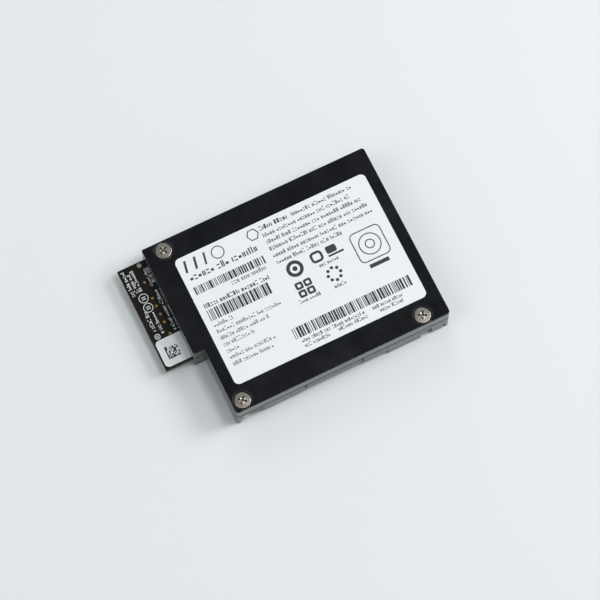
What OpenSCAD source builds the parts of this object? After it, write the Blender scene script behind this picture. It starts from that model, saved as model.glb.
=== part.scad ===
// Battery backup module of a storage controller card, at rest on its feet.
// A flat rechargeable cell lies between a tray and a cover, over a circuit board
// whose tab reaches out on the left with the plug for the card beneath it.
// X runs along the long side, Y from the front wall to the back wall, Z is up.
// Places are measured from the left end of the wing, the front wall and the feet.

/* [Cell] */
// Length of the battery cell
cell_l = 61; // [54:0.5:66]
// Width of the battery cell
cell_w = 42; // [38:0.5:46]
// Thickness of the battery cell
cell_t = 4.9; // [4.3:0.1:6]
// Thickness of the foam between the cell and the cover
foam_t = 0.3; // [0.2:0.05:0.6]
// Distance of the foam's edges from the edges of the cell
foam_inset = 4; // [2.5:0.5:8]
// Length of the plastic cap on the cell's terminal end
cap_l = 1.2; // [0.8:0.1:1.5]
// Width of the nickel tabs
nickel_w = 3; // [2:0.25:4]
// Thickness of the nickel tabs
nickel_t = 0.15; // [0.1:0.05:0.25]
// Distance between the two nickel tabs, centre to centre
nickel_pitch = 12; // [9:0.5:14]
// Distance of the terminals' middle from the cell's back edge
terminal_back = 11.8; // [11:0.2:14]

/* [Case] */
// Thickness of the upright walls
wall = 1.2; // [1:0.05:1.5]
// Thickness of the cover's top plate
top_t = 1.0; // [0.8:0.1:1.6]
// Thickness of the tray's floor pan
pan_t = 0.6; // [0.5:0.05:1]
// Outside radius of the upright corners
corner_r = 1.0; // [0.7:0.1:1.1]
// Outside radius of the wing's upright corners
wing_r = 0.5; // [0.3:0.05:0.9]
// Rounding of the cover's top edges
edge_r = 0.15; // [0.1:0.05:0.25]
// Room between the front wall and the cell
front_bay = 6.2; // [6:0.1:8]
// Room between the cell and the back wall
back_bay = 5.9; // [5.8:0.1:8]
// Room between the left wall and the cell
left_bay = 2.4; // [2.3:0.1:4]
// Room between the cell and the right wall
right_bay = 2.8; // [2:0.1:5]
// How far the wing stands out on the left
wing_out = 3.4; // [3:0.1:5]
// Where the wing begins, from the front wall
wing_start = 21.4; // [17:0.2:22]

/* [Parting line] */
// Height of the tray's rim above its floor pan
rim_h = 1.35; // [1.2:0.05:1.8]
// Height of the shadow groove between the tray and the cover
groove_h = 0.6; // [0.3:0.05:0.7]
// Height of the tray's lip above its rim
lip_h = 1.7; // [1.5:0.1:1.9]
// Thickness of the tray's lip
lip_t = 0.55; // [0.4:0.05:0.6]
// Clearance between the lip and the cover
lip_clr = 0.05; // [0.03:0.01:0.1]
// Length of each snap catch
catch_l = 5; // [3:0.5:7]
// How far each snap catch stands out from the lip
catch_out = 0.25; // [0.15:0.05:0.3]

/* [Skirts] */
// Gap between the front and back skirts and the surface
skirt_lift = 0.2; // [0.1:0.05:0.8]
// Underside of the front wall where it is open, above the board
open_over_board = 0.8; // [0.7:0.05:1.1]
// Where the opening beside the front left foot ends
open_end = 12; // [10.5:0.5:14]
// Where the short board guard ends and the full skirt begins
guard_end = 52; // [48:0.5:54]
// How far the board guard lies behind the front face
guard_recess = 0.15; // [0.1:0.05:0.25]
// How far the board guard reaches below the board, on each side of the snap
guard_drop = 1.1; // [0.5:0.1:2]
// Width of the two slots beside the front snap
slot_w = 0.7; // [0.5:0.1:1]
// Place of the first slot
slot_a = 25.5; // [22:0.5:28]
// Place of the second slot
slot_b = 43.8; // [40:0.2:46]
// Width of the window in front of the right standoff
window_w = 3.6; // [3:0.2:4]
// Height of the window above the board
window_over_board = 0.1; // [0.05:0.05:0.6]
// Width of the small notch between the skirt and the right foot
foot_notch_w = 1.2; // [0.8:0.1:1.6]
// Height of the small notch between the skirt and the right foot
foot_notch_h = 2.2; // [1.5:0.1:2.6]
// Width of the two drain slits at the foot of the left wall
slit_w = 0.8; // [0.5:0.1:1.2]
// Height of the two drain slits
slit_h = 0.7; // [0.4:0.1:1]
// Place of the first slit, from the front wall
slit_first = 7.5; // [6.5:0.5:9]
// Distance between the slits
slit_pitch = 3.3; // [2.5:0.1:5]

/* [Circuit board] */
// Thickness of the circuit board
board_t = 1.6; // [1.2:0.1:2]
// Height of the board's underside above the surface
board_z = 3.1; // [2.9:0.1:4]
// Distance of the board's long edges from the front and back faces
board_edge = 0.8; // [0.7:0.05:1]
// Clearance round the board
board_clr = 0.15; // [0.1:0.05:0.2]
// How far the tab reaches out on the left
tab_out = 8.5; // [7.5:0.25:12]
// Distance of the tab's front edge from the front face of the wing
tab_inset = 1.0; // [0.8:0.1:1.4]
// Gap over the tab for the sticker
tab_gap = 0.15; // [0.12:0.01:0.3]

/* [Labels] */
// Length of the rating label
label_l = 61.5; // [52:0.5:64]
// Width of the rating label
label_w = 41.8; // [34:0.2:43]
// Thickness of the rating label
label_t = 0.12; // [0.08:0.01:0.2]
// Distance of the label from the right face of the case
label_right = 3.55; // [3:0.05:5]
// Distance of the label from the front face of the case
label_front = 7.55; // [7:0.05:8.5]
// Corner radius of the rating label
label_r = 1.6; // [0.8:0.1:3]
// Length of the sticker on the tab, along X
sticker_l = 9; // [8:0.25:10]
// Width of the sticker on the tab, along Y
sticker_w = 8.6; // [7:0.2:10]
// Thickness of the sticker on the tab
sticker_t = 0.08; // [0.05:0.01:0.1]
// Corner radius of the sticker on the tab
sticker_r = 1.3; // [0.5:0.1:2]
// Distance of the sticker from the tab's front and left edges
sticker_margin = 0.5; // [0.3:0.1:1.5]

/* [Screws] */
// Thread diameter of all the screws
thread_d = 2.5; // [2:0.1:2.6]
// Diameter of the screw heads
head_d = 5.0; // [4.4:0.1:5.1]
// Height of the screw heads
head_h = 1.6; // [1.2:0.1:1.8]
// Length of the screws under the head
screw_l = 5; // [4.2:0.1:5.1]
// Diameter of the counterbores in the cover
sink_d = 5.3; // [5.1:0.1:5.5]
// Depth of the counterbores in the cover
sink_depth = 1.8; // [1.7:0.1:2.2]
// Chamfer round the top of each counterbore
sink_chamfer = 0.4; // [0.2:0.05:0.45]
// Plastic under each screw head
seat_t = 2.3; // [2.1:0.1:2.6]
// Width of the rings of plastic round the counterbores
ring_w = 0.8; // [0.6:0.1:0.9]
// Play between a screw and the hole in the cover
screw_play = 0.3; // [0.2:0.05:0.5]
// Distance of the front screws from the front face
screw_front = 3.0; // [2.9:0.1:3.1]
// Distance of the back screw from the back face
screw_back = 2.85; // [2.85:0.05:3.1]
// Distance of the left front screw from the left wall's face
screw_left = 3.35; // [3.3:0.05:3.8]
// Distance of the back screw from the wing's left face
screw_wing = 5.8; // [5.4:0.1:6.2]
// Distance of the right screw from the right wall's face
screw_right = 7.55; // [7:0.05:8]

/* [Standoffs] */
// Diameter of the standoffs under the board
standoff_d = 4.2; // [3.9:0.1:4.4]
// Diameter of the standoffs' necks through the board
neck_d = 3.5; // [3.3:0.05:3.6]
// Play between the necks and the board
neck_play = 0.1; // [0.06:0.02:0.2]
// Depth of the thread for the card's screw
card_thread = 3.4; // [2.8:0.1:3.5]
// Solid web between the two threads of a standoff
thread_web = 0.5; // [0.4:0.05:0.8]
// Play between a screw and the modelled thread
thread_play = 0.04; // [0.02:0.02:0.08]
// Width of the rings of plastic round the standoffs' necks
boss_w = 1.1; // [0.9:0.1:1.2]

/* [Plug] */
// Length of the plug under the tab
plug_l = 23; // [21:0.5:26]
// Width of the plug
plug_w = 5; // [4.4:0.2:5.4]
// Height of the plug
plug_h = 2.5; // [2:0.1:2.8]
// Thickness of the plug's side walls
plug_wall = 0.9; // [0.7:0.1:1.1]
// Width of the tongue inside the plug
tongue_w = 1.0; // [0.8:0.1:1.2]
// Number of contacts in each row
contact_count = 20; // [12:1:20]
// Distance between contacts
contact_pitch = 1.0; // [0.9:0.05:1.05]
// Width of a contact
contact_w = 0.36; // [0.25:0.01:0.45]
// Thickness of a contact
contact_t = 0.15; // [0.1:0.01:0.2]
// Length of a contact's solder tail beyond the plug
contact_tail = 0.7; // [0.5:0.1:0.9]
// Play of the contacts in the plug's slots
contact_play = 0.02; // [0.01:0.005:0.03]
// Plastic between the plug's pocket and the board
plug_roof = 0.5; // [0.4:0.05:0.7]
// How far the tongue lies behind the plug's mouth
tongue_back = 0.2; // [0.1:0.05:0.5]
// Gap at each end of the tongue
tongue_gap = 0.6; // [0.4:0.05:1]

/* [Components] */
// Length of the chip resistors
resistor_l = 1.6; // [1:0.1:1.8]
// Width of the chip resistors
resistor_w = 0.8; // [0.5:0.05:0.9]
// Height of the chip resistors
resistor_h = 0.45; // [0.3:0.05:0.6]
// Length of the ceramic capacitors
ceramic_l = 2; // [1.6:0.1:2.2]
// Width of the ceramic capacitors
ceramic_w = 1.25; // [0.8:0.05:1.4]
// Height of the ceramic capacitors
ceramic_h = 0.9; // [0.6:0.05:1.3]
// Length of the tantalum capacitors
tantalum_l = 7.3; // [6:0.1:7.5]
// Width of the tantalum capacitors
tantalum_w = 4.3; // [3.2:0.1:4.6]
// Height of the tantalum capacitors
tantalum_h = 1.9; // [1.5:0.1:2.4]
// Side of the coil's square base
coil_w = 7; // [6:0.2:7.4]
// Height of the coil
coil_h = 2.4; // [1.8:0.1:2.6]
// Length of the gauge chip
gauge_l = 9.6; // [8.4:0.1:9.8]
// Width of the gauge chip
gauge_w = 4.4; // [3.9:0.1:4.8]
// Length of the memory chip and the switch chips
small_chip_l = 4.9; // [3:0.1:5.2]
// Width of the memory chip and the switch chips
small_chip_w = 3.9; // [3:0.1:4.2]
// Side of the controller chip
controller_w = 7; // [6:0.1:7.4]
// Height of the gull-wing chips
chip_h = 1.5; // [1.1:0.1:1.8]
// Distance between the leads of a chip
lead_pitch = 0.75; // [0.6:0.05:0.8]
// Width of a lead
lead_w = 0.3; // [0.2:0.02:0.36]
// Thickness of a lead
lead_t = 0.15; // [0.1:0.01:0.2]
// How far a lead reaches out of the chip
lead_reach = 0.9; // [0.6:0.05:1]
// Side of the leadless charger chip
charger_w = 5; // [4:0.1:5.4]
// Height of the leadless charger chip
flat_chip_h = 0.9; // [0.7:0.1:1.2]
// Length of the diodes
diode_l = 4.3; // [3.6:0.1:4.8]
// Width of the diodes
diode_w = 2.6; // [2:0.1:2.8]
// Height of the diodes
diode_h = 2; // [1.6:0.1:2.3]
// Length of the sense resistor
shunt_l = 6.3; // [5.4:0.1:6.6]
// Width of the sense resistor
shunt_w = 3.2; // [2.6:0.1:3.4]
// Length of the board fuse
fuse_l = 6.1; // [5.2:0.1:6.4]
// Width of the board fuse
fuse_w = 2.6; // [2:0.1:3]
// Height of the sense resistor and the board fuse
shunt_h = 0.7; // [0.5:0.05:1]

/* [Hidden] */
$fn = 48;
eps = 0.01;

// Heights of the stack, from the surface up
board_top = board_z + board_t;
pan_top = board_top + pan_t;
rim_z = pan_top + rim_h;
cover_z = rim_z + groove_h;
lip_z = rim_z + lip_h;
cell_top = pan_top + cell_t;
top_under = cell_top + foam_t;
case_h = top_under + top_t;
head_seat = case_h - sink_depth;
boss_top = head_seat - seat_t;
inner_r = 0.15;

// Plan of the case and the cell
cell_x = wing_out + wall + left_bay;
cell_y = wall + front_bay;
case_l = cell_x + cell_l + right_bay + wall;
case_w = cell_y + cell_w + back_bay + wall;

// Screws: front left, front right, back left
SCREWS = [
    [wing_out + screw_left, screw_front],
    [case_l - screw_right, screw_front],
    [screw_wing, case_w - screw_back]
];
ring_r = sink_d / 2 + ring_w;
boss_r = neck_d / 2 + boss_w;

// Plan of the board and its tab
board_left = wing_out + wall + board_clr;
board_right = case_l - wall - board_clr;
tab_front = wing_start + tab_inset;
tab_back = case_w - board_edge;

// Steps of the component layout along and across the main board
LAYOUT_STEPS = [66, 55];
step_x = (board_right - board_left) / LAYOUT_STEPS.x;
step_y = (tab_back - board_edge) / LAYOUT_STEPS.y;
end_share = 0.22;

// Cell terminals
cap_x = cell_x - cap_l;
terminal_y = cell_y + cell_w - terminal_back;
cap_edge = 0.35;
cap_r = cell_t / 2 - cap_edge;
well_left = wall + 0.6;
well_margin = 2.5;

// Snap catches: plan place and which wall they are on
front_snap_x = (slot_a + slot_b) / 2;
back_snap_x = case_l * 0.7;
right_snap_y = case_w / 2;
catch_h = 0.5;
catch_z = lip_z - catch_h - 0.25;

module place() {
    translate([-(case_l - tab_out) / 2, -case_w / 2, 0]) children();
}

module each_screw() {
    for (p = SCREWS) translate(p) children();
}

// ---- Plan outlines -------------------------------------------------------

// Rectangle between two corners with true round corners
module round_rect(a, b, r) {
    translate([a.x + r, a.y]) square([b.x - a.x - 2 * r, b.y - a.y]);
    translate([a.x, a.y + r]) square([b.x - a.x, b.y - a.y - 2 * r]);
    for (x = [a.x + r, b.x - r], y = [a.y + r, b.y - r])
        translate([x, y]) circle(r);
}

// Outline of the case, moved inwards by inset: main part and wing
module case_plan(inset = 0) {
    round_rect([wing_out + inset, inset], [case_l - inset, case_w - inset],
        max(corner_r - inset, inner_r));
    round_rect([inset, wing_start + inset], [case_l / 2, case_w - inset],
        max(wing_r - inset, inner_r));
}

// Outline of the board and its tab, grown by grow
module board_plan(grow = 0) {
    translate([board_left - grow, board_edge - grow])
        square([board_right - board_left + 2 * grow, tab_back - board_edge + 2 * grow]);
    translate([-tab_out - grow, tab_front - grow])
        square([tab_out + board_left + 2 * grow, tab_back - tab_front + 2 * grow]);
}

// ---- Solid forms ---------------------------------------------------------

// Section of a slab from a to b whose top corners are rounded
module slab_section(a, b, h) {
    translate([a, 0]) square([b - a, h - edge_r]);
    translate([a + edge_r, 0]) square([b - a - 2 * edge_r, h]);
    for (x = [a + edge_r, b - edge_r]) translate([x, h - edge_r]) circle(edge_r);
}

// Slab with round upright corners and round top edges
module soft_slab(a, b, h, r) {
    translate([0, b.y - r, 0]) rotate([90, 0, 0])
        linear_extrude(b.y - a.y - 2 * r) slab_section(a.x, b.x, h);
    translate([a.x + r, 0, 0]) rotate([90, 0, 90])
        linear_extrude(b.x - a.x - 2 * r) slab_section(a.y, b.y, h);
    for (x = [a.x + r, b.x - r], y = [a.y + r, b.y - r])
        translate([x, y, 0]) rotate_extrude() {
            square([r, h - edge_r]);
            square([r - edge_r, h]);
            translate([r - edge_r, h - edge_r]) intersection() {
                circle(edge_r);
                square(edge_r);
            }
        }
}

// Wedge of a snap catch, standing out along -Y from the plane y = 0
module catch_wedge(grow = 0) {
    translate([-catch_l / 2 - grow, 0, catch_z - grow]) rotate([90, 0, 90])
        linear_extrude(catch_l + 2 * grow)
            polygon([[0.2, 0], [-catch_out - grow, 0],
                     [-catch_out - grow, catch_h / 2 + grow],
                     [0.2, catch_h + 2 * grow + 0.2]]);
}

// The snap catches, each on the outer face of the lip
module catches(grow = 0) {
    face = wall - lip_t;
    translate([front_snap_x, face, 0]) catch_wedge(grow);
    translate([back_snap_x, case_w - face, 0]) rotate(180) catch_wedge(grow);
    translate([case_l - face, right_snap_y, 0]) rotate(90) catch_wedge(grow);
}

// ---- Case ----------------------------------------------------------------

module cover_skin() {
    translate([0, 0, cover_z]) {
        soft_slab([wing_out, 0], [case_l, case_w], case_h - cover_z, corner_r);
        soft_slab([0, wing_start], [case_l / 2, case_w], case_h - cover_z, wing_r);
    }
}

// Inside of the cover, with the wider rebate that takes the tray's lip
module cover_cavity() {
    translate([0, 0, cover_z - 1]) {
        linear_extrude(top_under - cover_z + 1) case_plan(wall);
        linear_extrude(lip_z - cover_z + 1) case_plan(wall - lip_t - lip_clr);
    }
}

// Screw bosses inside the cover, cut off at the wall
module cover_bosses() {
    intersection() {
        translate([0, 0, boss_top]) linear_extrude(top_under - boss_top + eps)
            case_plan(wall - lip_t - lip_clr);
        each_screw() cylinder(r = ring_r, h = case_h - top_t / 2);
    }
}

// Stop ribs at the right end that keep the cell from sliding
module cover_ribs() {
    rib_t = 0.8;
    rib_h = 2;
    rib_play = 0.15;
    for (k = [0.25, 0.5, 0.75])
        translate([cell_x + cell_l + rib_play, cell_y + cell_w * k - rib_t / 2, top_under - rib_h])
            cube([right_bay + wall / 2 - rib_play, rib_t, rib_h + eps]);
}

module top_cover() {
    color([0.09, 0.1, 0.11]) place() difference() {
        union() {
            difference() {
                cover_skin();
                cover_cavity();
            }
            cover_bosses();
            cover_ribs();
        }
        each_screw() {
            translate([0, 0, head_seat]) cylinder(d = sink_d, h = sink_depth + 1);
            translate([0, 0, case_h - sink_chamfer])
                cylinder(d1 = sink_d, d2 = sink_d + 4 * sink_chamfer, h = 2 * sink_chamfer);
            translate([0, 0, boss_top - 1])
                cylinder(d = thread_d + screw_play, h = seat_t + 2);
        }
        catches(lip_clr);
    }
}

// Walls, pan and skirts of the tray, before its cut-outs
module tray_shell() {
    difference() {
        linear_extrude(board_top + eps) case_plan();
        translate([0, 0, -1]) linear_extrude(board_top + 1) board_plan(board_clr);
    }
    translate([0, 0, board_top]) {
        linear_extrude(pan_t) case_plan(wall / 2);
        linear_extrude(rim_z - board_top) difference() {
            case_plan();
            case_plan(wall);
        }
    }
    translate([0, 0, rim_z - eps]) linear_extrude(lip_h + eps) difference() {
        case_plan(wall - lip_t);
        case_plan(wall);
    }
    catches();
}

// Rails along both long sides of the cell
module cell_rails() {
    rail_t = 0.8;
    rail_h = boss_top - pan_top - 0.3;
    rail_play = 0.15;
    rail_end = 4;
    for (y = [cell_y - rail_play - rail_t, cell_y + cell_w + rail_play])
        translate([cell_x + rail_end, y, pan_top - eps])
            cube([cell_l - 2 * rail_end, rail_t, rail_h + eps]);
}

// Openings of the front skirt, from the left foot to the right foot
module front_cuts() {
    foot = wing_out + wall;
    open_z = board_top + open_over_board;
    window_x = SCREWS[1].x - window_w / 2;
    translate([foot, -1, -1]) cube([open_end - foot, 1 + board_edge, open_z + 1]);
    translate([foot, -1, -1]) cube([guard_end - foot, 1 + guard_recess, open_z + 1]);
    translate([foot, -1, -1]) cube([guard_end - foot, 1 + board_edge, board_z - guard_drop + 1]);
    translate([slot_a, -1, -1]) cube([slot_b - slot_a, 1 + board_edge, board_z + 1]);
    translate([window_x, -1, -1])
        cube([window_w, 1 + board_edge, board_top + window_over_board + 1]);
    translate([case_l - wall - foot_notch_w, -1, -1])
        cube([foot_notch_w, 1 + board_edge, foot_notch_h + 1]);
    for (x = [slot_a, slot_b]) {
        translate([x - slot_w / 2, -1, -1]) cube([slot_w, 1 + board_edge, board_top + 1]);
        translate([x - slot_w / 2, -1, board_z]) cube([slot_w, 1 + wall, case_h]);
    }
}

module base_tray() {
    foot = wing_out + wall;
    color([0.1, 0.11, 0.12]) place() difference() {
        union() {
            tray_shell();
            cell_rails();
            translate([0, 0, board_top]) intersection() {
                linear_extrude(boss_top - board_top) case_plan(wall - lip_t);
                each_screw() cylinder(r = boss_r, h = boss_top - board_top);
            }
        }
        // Room for the cover's bosses in the lip
        translate([0, 0, rim_z]) difference() {
            each_screw() cylinder(r = ring_r + lip_clr, h = case_h);
            each_screw() cylinder(r = boss_r, h = boss_top - rim_z);
        }
        // Holes for the necks of the standoffs
        each_screw() translate([0, 0, -1]) cylinder(d = neck_d + neck_play, h = case_h);
        front_cuts();
        // Gap under the front and back skirts, between the side walls
        for (y = [-1, case_w - board_edge])
            translate([foot, y, -1]) cube([case_l - wall - foot, 1 + board_edge, 1 + skirt_lift]);
        // Gap over the tab
        translate([-1, tab_front - board_clr, board_z])
            cube([1 + wall, tab_back - tab_front + 2 * board_clr, board_t + tab_gap]);
        // Well for the cell's tabs
        translate([well_left, terminal_y - nickel_pitch / 2 - well_margin, board_z])
            cube([cap_x - well_left, nickel_pitch + 2 * well_margin, case_h]);
        // Drain slits at the foot of the left wall
        for (k = [0, 1])
            translate([wing_out - 1, slit_first + k * slit_pitch - slit_w / 2, -1])
                cube([wall + 2, slit_w, 1 + slit_h]);
    }
}

module rating_label() {
    x = case_l - label_right;
    color([0.93, 0.94, 0.94]) place() translate([0, 0, case_h]) linear_extrude(label_t)
        round_rect([x - label_l, label_front], [x, label_front + label_w], label_r);
}

// ---- Fasteners -----------------------------------------------------------

// Flat pan head with a cross recess, its seat at z = 0
module pan_head() {
    steps = 8;
    edge = head_h * 0.22;
    crown = head_h * 0.06;
    rim = head_h - crown - edge;
    recess_r = head_d * 0.28;
    recess_h = head_h * 0.62;
    slot = head_d * 0.12;
    difference() {
        rotate_extrude() polygon(concat([[0, 0], [head_d / 2, 0]],
            [for (k = [0:steps]) [head_d / 2 - edge * (1 - cos(90 * k / steps)),
                                  rim + edge * sin(90 * k / steps)]],
            [[0, head_h]]));
        translate([0, 0, head_h - recess_h]) {
            cylinder(r1 = slot * 0.4, r2 = slot, h = recess_h + eps);
            intersection() {
                cylinder(r1 = recess_r * 0.55, r2 = recess_r, h = recess_h + eps);
                union() {
                    translate([-slot / 2, -head_d, 0]) cube([slot, 2 * head_d, head_h]);
                    translate([-head_d, -slot / 2, 0]) cube([2 * head_d, slot, head_h]);
                }
            }
        }
    }
}

// Turn of each screw's recess, as it came to rest
SCREW_TURNS = [49, 64, 28];

module cover_screws() {
    color([0.72, 0.7, 0.66]) place() for (k = [0:2])
        translate([SCREWS[k].x, SCREWS[k].y, head_seat]) rotate(SCREW_TURNS[k]) {
            pan_head();
            translate([0, 0, -screw_l]) cylinder(d = thread_d - 2 * thread_play, h = screw_l);
        }
}

module threaded_standoffs() {
    lead_in = 0.2;
    cover_thread = boss_top - card_thread - thread_web;
    color([0.8, 0.8, 0.79]) place() each_screw() difference() {
        union() {
            cylinder(d = standoff_d, h = board_z);
            cylinder(d = neck_d, h = boss_top);
        }
        translate([0, 0, -1]) cylinder(d = thread_d, h = card_thread + 1);
        translate([0, 0, -eps])
            cylinder(d1 = thread_d + 2 * lead_in, d2 = thread_d, h = lead_in);
        translate([0, 0, boss_top - cover_thread]) cylinder(d = thread_d, h = cover_thread + 1);
    }
}

// ---- Cell ----------------------------------------------------------------

// Section of the cell across its width, with fully round sides
module cell_section(inset = 0) {
    r = cell_t / 2 - inset;
    translate([r + inset, inset]) square([cell_w - 2 * r - 2 * inset, 2 * r]);
    for (y = [r + inset, cell_w - r - inset]) translate([y, r + inset]) circle(r);
}

module battery_cell() {
    color([0.75, 0.76, 0.78]) place() translate([cell_x, cell_y, pan_top])
        rotate([90, 0, 90]) linear_extrude(cell_l) cell_section();
}

module terminal_cap() {
    color([0.15, 0.15, 0.16]) place() translate([cap_x, cell_y, pan_top])
        rotate([90, 0, 90]) linear_extrude(cap_l) cell_section(cap_edge);
}

// Nickel strip down the face of the cap and out along the board
module nickel_strip(y) {
    top = pan_top + cell_t - 2 * cap_edge - 0.4;
    foot_l = 2.4;
    place() translate([cap_x, y - nickel_w / 2, 0]) {
        translate([-nickel_t, 0, board_top]) cube([nickel_t, nickel_w, top - board_top]);
        translate([-nickel_t - foot_l, 0, board_top]) cube([foot_l + eps, nickel_w, nickel_t]);
    }
}

module positive_tab() {
    color([0.8, 0.79, 0.76]) nickel_strip(terminal_y + nickel_pitch / 2);
}

module negative_tab() {
    color([0.8, 0.79, 0.76]) nickel_strip(terminal_y - nickel_pitch / 2);
}

// Thermal cut-out on the outer face of the positive tab
module thermal_fuse() {
    fuse_t = 0.9;
    fuse_w = nickel_w - 0.6;
    fuse_h = 2.8;
    fuse_z = pan_top + 0.8;
    color([0.2, 0.2, 0.22]) place()
        translate([cap_x - nickel_t - fuse_t, terminal_y + nickel_pitch / 2 - fuse_w / 2, fuse_z])
            cube([fuse_t, fuse_w, fuse_h]);
}

// Bead against the cap, on two wires that stand on the board
module thermistor() {
    bead_r = 0.7;
    wire_d = 0.3;
    bead_z = pan_top + cell_t / 2;
    color([0.35, 0.2, 0.1]) place()
        translate([cap_x - bead_r, terminal_y, 0]) {
            translate([0, 0, bead_z]) sphere(bead_r);
            for (s = [-1, 1]) translate([0, s * bead_r / 2, board_top])
                cylinder(d = wire_d, h = bead_z - board_top);
        }
}

module foam_pad() {
    color([0.25, 0.25, 0.25]) place()
        translate([cell_x + foam_inset, cell_y + foam_inset, cell_top])
            cube([cell_l - 2 * foam_inset, cell_w - 2 * foam_inset, foam_t]);
}

// ---- Board ---------------------------------------------------------------

module circuit_board() {
    color([0.08, 0.08, 0.07]) place() difference() {
        translate([0, 0, board_z]) linear_extrude(board_t) board_plan();
        each_screw() cylinder(d = neck_d + neck_play, h = case_h);
    }
}

module code_sticker() {
    a = [-tab_out + sticker_margin, tab_front + sticker_margin];
    color([0.9, 0.92, 0.92]) place() translate([0, 0, board_top]) linear_extrude(sticker_t)
        round_rect(a, a + [sticker_l, sticker_w], sticker_r);
}

// ---- Plug ----------------------------------------------------------------

plug_x = -tab_out / 2;
plug_y = (tab_front + tab_back) / 2;

// Place of one contact: side is -1 or 1, k counts along the row
module each_contact() {
    for (side = [-1, 1], k = [0 : contact_count - 1])
        translate([plug_x, plug_y + (k - (contact_count - 1) / 2) * contact_pitch, board_z])
            mirror([side > 0 ? 1 : 0, 0, 0]) children();
}

// Slot for one contact: across the plug's roof and down the inside of its wall
module contact_slot() {
    w = contact_w + 2 * contact_play;
    translate([-plug_w / 2 - 1, -w / 2, -contact_t])
        cube([1 + plug_wall + contact_t, w, contact_t + 1]);
    translate([-plug_w / 2 + plug_wall - eps, -w / 2, plug_roof - plug_h])
        cube([contact_t + eps, w, plug_h]);
}

module plug_body() {
    pocket_w = plug_w - 2 * plug_wall;
    pocket_l = plug_l - 2 * plug_wall;
    tongue_l = pocket_l - 2 * tongue_gap;
    color([0.12, 0.12, 0.13]) place() difference() {
        translate([plug_x - plug_w / 2, plug_y - plug_l / 2, board_z - plug_h])
            cube([plug_w, plug_l, plug_h]);
        translate([plug_x, plug_y, board_z - plug_h]) difference() {
            translate([-pocket_w / 2, -pocket_l / 2, -1])
                cube([pocket_w, pocket_l, plug_h - plug_roof + 1]);
            translate([-tongue_w / 2, -tongue_l / 2, tongue_back])
                cube([tongue_w, tongue_l, plug_h]);
        }
        each_contact() contact_slot();
    }
}

module plug_contacts() {
    color([0.85, 0.66, 0.3]) place() each_contact() {
        translate([-plug_w / 2 - contact_tail, -contact_w / 2, -contact_t])
            cube([contact_tail + plug_wall + contact_t, contact_w, contact_t]);
        translate([-plug_w / 2 + plug_wall, -contact_w / 2, plug_roof - plug_h])
            cube([contact_t, contact_w, plug_h - plug_roof]);
    }
}

// ---- Components on the board's underside ---------------------------------

// A place on the board, in layout steps from the front left corner of its main part
module on_board(p, turn = 0) {
    translate([board_left + p.x * step_x, board_edge + p.y * step_y, board_z])
        rotate(turn) children();
}

// Block hanging under the board
module block(p, size, h) {
    on_board(p) translate([-size.x / 2, -size.y / 2, -h]) cube([size.x, size.y, h]);
}

// Two-ended part: a body between slightly larger end caps
module end_capped(p, size, h, turn = 0) {
    proud = 0.04;
    cap = size.x * end_share;
    on_board(p, turn) {
        translate([-(size.x - cap) / 2, -size.y / 2 + proud, proud - h])
            cube([size.x - cap, size.y - 2 * proud, h - proud]);
        for (s = [-1, 1]) translate([s * (size.x - cap) / 2 - cap / 2, -size.y / 2, -h])
            cube([cap, size.y, h]);
    }
}

// Chips with leads: place, body size, leads on each X side and on each Y side
SMALL_CHIP = [small_chip_l, small_chip_w];
GAUGE = [[16, 11], [gauge_l, gauge_w], 12, 0];
MEMORY = [[53, 12], SMALL_CHIP, 4, 0];
CONTROLLER = [[39, 41], [controller_w, controller_w], 8, 8];
SWITCHES = [[[9, 27], SMALL_CHIP, 4, 0], [[9, 38], SMALL_CHIP, 4, 0]];
body_lift = 0.1;

module chip_body(c) {
    translate([0, 0, -body_lift]) block(c[0], c[1], chip_h - body_lift);
}

// One gull-wing lead: out of the body's side, up, and along the board
module gull_wing() {
    mid = chip_h / 2;
    knee = lead_reach / 2;
    translate([-lead_w / 2, 0, 0]) rotate([90, 0, 90]) linear_extrude(lead_w)
        polygon([[0, -mid], [knee + lead_t, -mid], [knee + lead_t, -lead_t],
                 [lead_reach, -lead_t], [lead_reach, 0], [knee, 0],
                 [knee, -mid + lead_t], [0, -mid + lead_t]]);
}

// A row of leads on the two sides of a chip that face along Y after the turn
module lead_rows(c, count, half, turn) {
    on_board(c[0], turn) for (side = [0, 1], k = [0 : 1 : count - 1])
        translate([(k - (count - 1) / 2) * lead_pitch, 0, 0])
            mirror([0, side, 0]) translate([0, half, 0]) gull_wing();
}

module gauge_chip() {
    color([0.13, 0.13, 0.14]) place() chip_body(GAUGE);
}

module memory_chip() {
    color([0.13, 0.13, 0.14]) place() chip_body(MEMORY);
}

module controller_chip() {
    color([0.13, 0.13, 0.14]) place() chip_body(CONTROLLER);
}

module switch_chips() {
    color([0.13, 0.13, 0.14]) place() for (c = SWITCHES) chip_body(c);
}

module chip_leads() {
    color([0.75, 0.75, 0.75]) place()
        for (c = concat([GAUGE, MEMORY, CONTROLLER], SWITCHES)) {
            lead_rows(c, c[2], c[1].y / 2, 0);
            lead_rows(c, c[3], c[1].x / 2, 90);
        }
}

module charger_chip() {
    color([0.13, 0.13, 0.14]) place() block([34, 11], [charger_w, charger_w], flat_chip_h);
}

// Shielded coil: a round winding pot on a square base
module power_coil() {
    pot_d = coil_w * 0.94;
    eye_d = coil_w * 0.31;
    eye_depth = 0.3;
    base_h = coil_h * 0.4;
    color([0.2, 0.2, 0.2]) place() {
        difference() {
            union() {
                block([37, 26], [coil_w, coil_w], base_h);
                on_board([37, 26]) translate([0, 0, -coil_h]) cylinder(d = pot_d, h = coil_h);
            }
            on_board([37, 26]) translate([0, 0, -coil_h - 1])
                cylinder(d = eye_d, h = 1 + eye_depth);
        }
    }
}

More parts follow.
